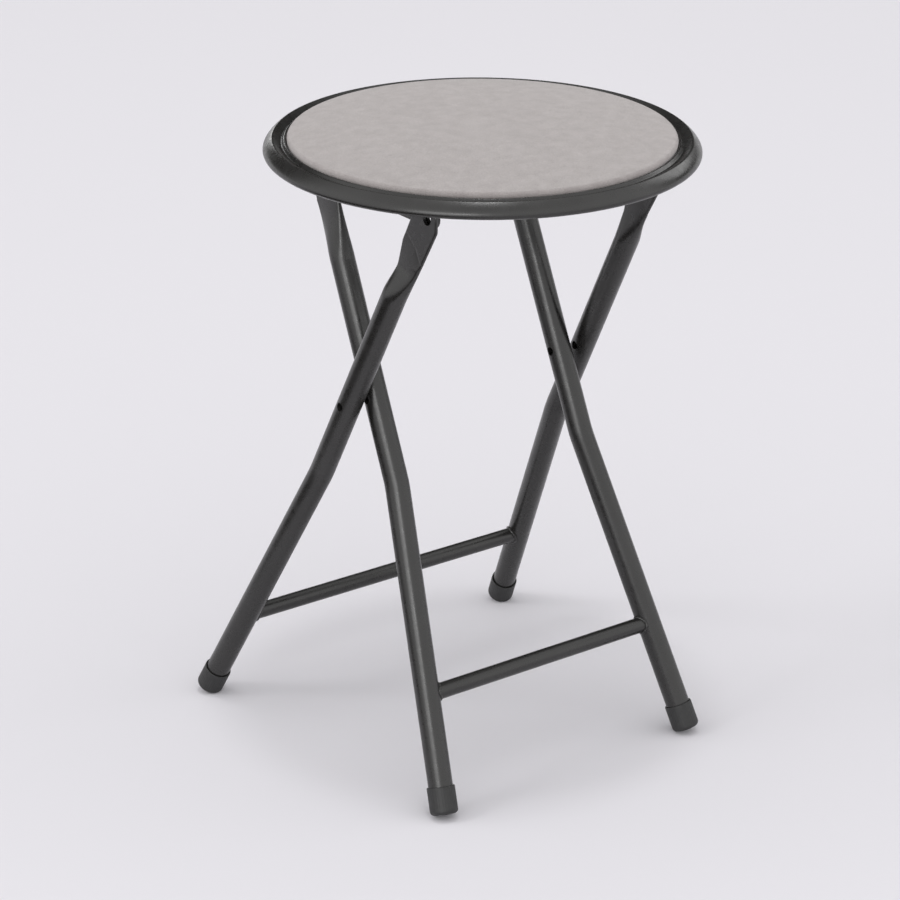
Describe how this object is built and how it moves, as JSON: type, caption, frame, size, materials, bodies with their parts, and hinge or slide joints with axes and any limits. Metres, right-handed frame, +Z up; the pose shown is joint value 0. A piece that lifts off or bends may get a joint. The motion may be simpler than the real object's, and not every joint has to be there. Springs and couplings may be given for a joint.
{
  "type": "folding stool",
  "caption": "Folding stool with a round padded seat hinged on crossed frames of bent black tube, pressed flat at their tops, with plastic foot caps.",
  "frame": {"origin": "on the floor, in the middle of the open stool's footprint box (seat and feet together)", "axes": "+Z up; X along the rungs and hinge axes, the stool is mirror symmetric in X; the outer frame's feet are at +Y and the inner frame's feet at -Y"},
  "size_m": [0.3, 0.3092, 0.4528],
  "materials": {
    "black_powder_coat": "satin, fine grain",
    "black_plastic": "matte",
    "bare_steel": "zinc plated",
    "velvet_cover": "short soft pile",
    "foam": "matte foam",
    "plywood": "raw"
  },
  "bodies": {
    "outer_frame": {"outer_leg_left": "black_powder_coat", "outer_leg_right": "black_powder_coat", "outer_rung": "black_powder_coat", "outer_foot_left": "black_plastic", "outer_foot_right": "black_plastic", "cross_rivet_left": "black_powder_coat", "cross_rivet_right": "black_powder_coat", "cross_spacer_left": "black_plastic", "cross_spacer_right": "black_plastic", "cross_washer_left": "bare_steel", "cross_washer_right": "bare_steel", "hinge_rivet_left": "black_powder_coat", "hinge_rivet_right": "black_powder_coat", "hinge_washer_left": "black_plastic", "hinge_washer_right": "black_plastic"},
    "inner_frame": {"inner_leg_left": "black_powder_coat", "inner_leg_right": "black_powder_coat", "inner_rung": "black_powder_coat", "inner_foot_left": "black_plastic", "inner_foot_right": "black_plastic", "hook_rod": "bare_steel", "rod_collar_left": "bare_steel", "rod_collar_right": "bare_steel"},
    "seat": {"seat_pan": "black_powder_coat", "pad_board": "plywood", "pad_foam": "foam", "pad_cover": "velvet_cover", "seat_rail_left": "black_powder_coat", "seat_rail_right": "black_powder_coat", "rail_screw_left_1": "bare_steel", "rail_screw_left_2": "bare_steel", "rail_screw_left_3": "bare_steel", "rail_screw_right_1": "bare_steel", "rail_screw_right_2": "bare_steel", "rail_screw_right_3": "bare_steel"}
  },
  "joints": [
    {"name": "seat_fold", "type": "hinge", "parent": "outer_frame", "child": "seat", "pos_m": [0, -0.07425, 0.4231], "axis": [1, 0, 0], "range_deg": [0, 112]},
    {"name": "cross_pivot", "type": "hinge", "parent": "outer_frame", "child": "inner_frame", "pos_m": [0, 0.00779, 0.2675], "axis": [1, 0, 0], "range_deg": [0, 46.8]}
  ],
  "couplings": [
    {"joint": "cross_pivot", "follows": "seat_fold", "ratio": 0.4158}
  ]
}
